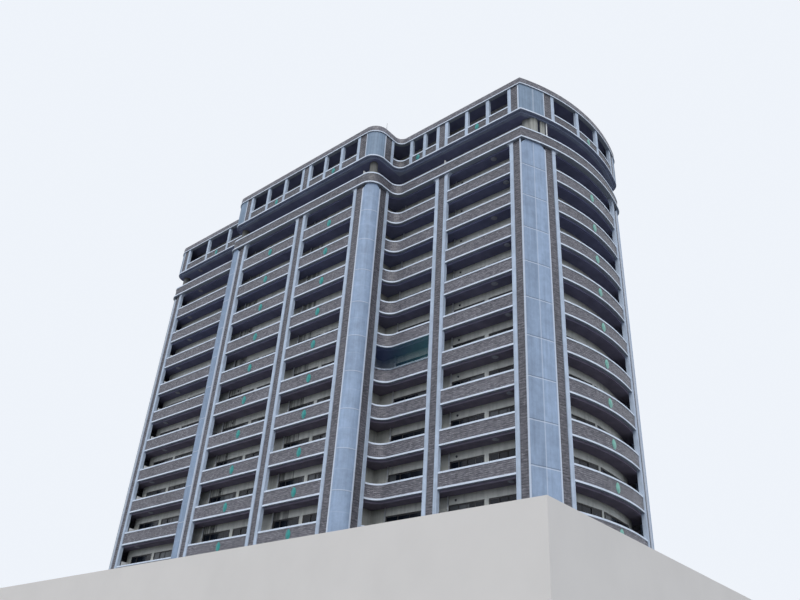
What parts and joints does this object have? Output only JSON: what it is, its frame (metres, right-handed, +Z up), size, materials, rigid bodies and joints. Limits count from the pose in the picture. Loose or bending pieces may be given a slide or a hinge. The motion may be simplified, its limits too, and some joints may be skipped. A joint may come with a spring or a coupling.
{
  "type": "scale model of an apartment building, half of real size",
  "caption": "Twelve-storey apartment block with balcony rows, a bowed end, rounded corner columns and an overhanging crown storey.",
  "frame": {"origin": "on the ground under the pier between the two middle bays, half way through the building's depth", "axes": "+X along the front towards the bowed end, +Y from the front to the rear, +Z up"},
  "size_m": [22.9599, 8.28, 18.325],
  "materials": {
    "tile": "satin",
    "render": "matte",
    "concrete": "matte",
    "cream_wall": "matte",
    "rod_metal": "satin"
  },
  "bodies": {
    "root": {"parapets_01": "tile", "parapets_02": "tile", "parapets_03": "tile", "parapets_04": "tile", "parapets_05": "tile", "parapets_06": "tile", "parapets_07": "tile", "parapets_08": "tile", "parapets_09": "tile", "parapets_10": "tile", "cornice_corners": "tile", "cornice_lengths": "tile", "roof_band": "tile", "tiled_piers": "tile", "gable_wall": "tile", "crown_parapets": "tile", "crown_strips": "tile", "front_posts": "render", "rear_posts": "render", "left_column": "render", "step_column": "render", "return_column": "render", "rear_columns": "render", "corner_pilaster": "render", "crown_posts": "render", "crown_column_heads": "render", "ground_slab": "concrete", "floor_slab_02": "concrete", "floor_slab_03": "concrete", "floor_slab_04": "concrete", "floor_slab_05": "concrete", "floor_slab_06": "concrete", "floor_slab_07": "concrete", "floor_slab_08": "concrete", "floor_slab_09": "concrete", "floor_slab_10": "concrete", "floor_slab_11": "concrete", "crown_slab": "concrete", "roof_slab": "concrete", "front_flat_walls": "cream_wall", "side_flat_walls": "cream_wall", "bow_flat_walls": "cream_wall", "rear_flat_walls": "cream_wall", "recess_columns": "cream_wall", "lightning_rod": "rod_metal"}
  },
  "joints": []
}
